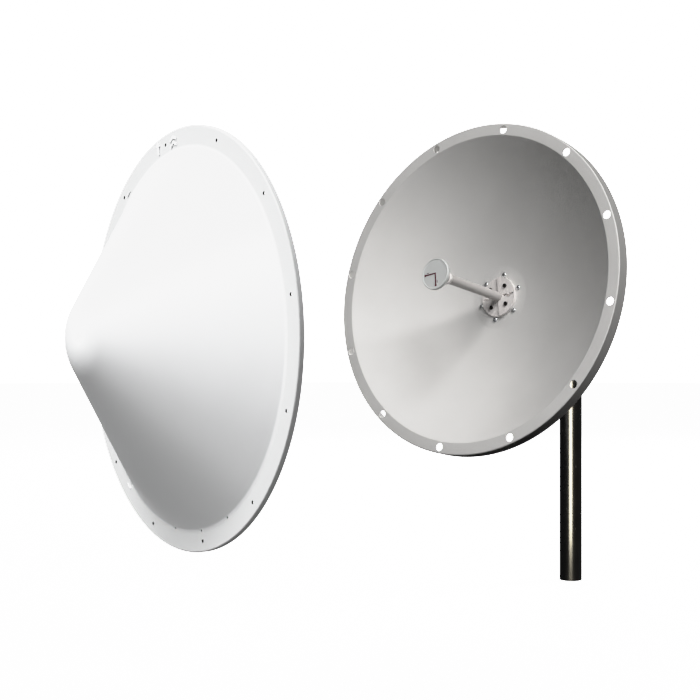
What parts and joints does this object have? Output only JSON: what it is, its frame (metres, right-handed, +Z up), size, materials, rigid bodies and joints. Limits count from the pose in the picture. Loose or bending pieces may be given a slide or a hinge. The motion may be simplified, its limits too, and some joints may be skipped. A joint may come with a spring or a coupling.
{
  "type": "parabolic dish antenna",
  "caption": "Solid parabolic dish on a tilting mast mount, with a rotatable tube feed and a separate cone radome standing off in front.",
  "frame": {"origin": "centre of the mast's lower end", "axes": "+Z up along the mast; the dish looks towards -Y, tilted up; the radome stands ahead of it"},
  "size_m": [0.676, 1.3537, 0.9575],
  "materials": {
    "black_paint": "gloss",
    "black_plastic": "satin",
    "zinc": "satin",
    "galvanised": "satin",
    "cast_alloy": "satin",
    "scale_plate": "satin",
    "brass": "satin",
    "dish_coat": "satin",
    "white_plastic": "satin",
    "black_oxide": "satin",
    "rubber": "matte",
    "nickel": "gloss",
    "white_insulator": "matte",
    "gold": "gloss",
    "copper": "satin",
    "aluminium": "satin",
    "board": "satin",
    "feed_cap_plastic": "satin",
    "mark_print": "matte",
    "radome_plastic": "gloss"
  },
  "bodies": {
    "mast": {"mast": "black_paint", "mast_cap": "black_plastic"},
    "azimuth_mount": {"u_bolts": "zinc", "clamp_saddles": "cast_alloy", "u_bolt_washers": "zinc", "u_bolt_nuts": "zinc", "yoke": "galvanised", "pivot_bolts": "zinc", "pivot_washers": "zinc", "pivot_nuts": "zinc", "elevation_scale": "scale_plate", "scale_rivets": "zinc"},
    "dish": {"tilt_arm": "galvanised", "lock_bolts": "zinc", "lock_washers": "zinc", "lock_nuts": "zinc", "earth_screw": "brass", "earth_nut": "brass", "back_plate": "galvanised", "reflector": "dish_coat", "dish_bolts": "zinc", "dish_washers": "zinc", "dish_nuts": "zinc"},
    "feed": {"hub_plate_left": "white_plastic", "hub_plate_right": "white_plastic", "plate_bolts": "black_oxide", "feed_housing": "cast_alloy", "feed_lock_ring": "black_oxide", "cover_gasket": "rubber", "rear_cover": "cast_alloy", "cover_screws": "zinc", "socket_shells": "nickel", "socket_nuts": "nickel", "socket_insulators": "white_insulator", "socket_contacts": "gold", "tube_seal": "rubber", "feed_tube": "white_plastic", "tube_collar": "white_plastic", "coax_leads": "copper", "feed_back_disc": "aluminium", "radiator_board": "board", "feed_cap": "feed_cap_plastic", "axis_mark": "mark_print"},
    "radome": {"radome_shell": "radome_plastic"}
  },
  "joints": [
    {"name": "azimuth", "type": "hinge", "parent": "mast", "child": "azimuth_mount", "pos_m": [0, 0, 0.58], "axis": [0, 0, 1], "continuous": true},
    {"name": "elevation", "type": "hinge", "parent": "azimuth_mount", "child": "dish", "pos_m": [0, -0.115, 0.58], "axis": [-1, 0, 0], "range_deg": [-15.5, 14.5]},
    {"name": "feed_turn", "type": "hinge", "parent": "dish", "child": "feed", "pos_m": [0, -0.26052, 0.60697], "axis": [0, -0.9833, 0.1822], "range_deg": [-56, 34]},
    {"name": "radome_slide", "type": "slide", "parent": "mast", "child": "radome", "axis": [-0.2368, -0.9715, 0], "range_m": [-0.45, 0.15]}
  ]
}
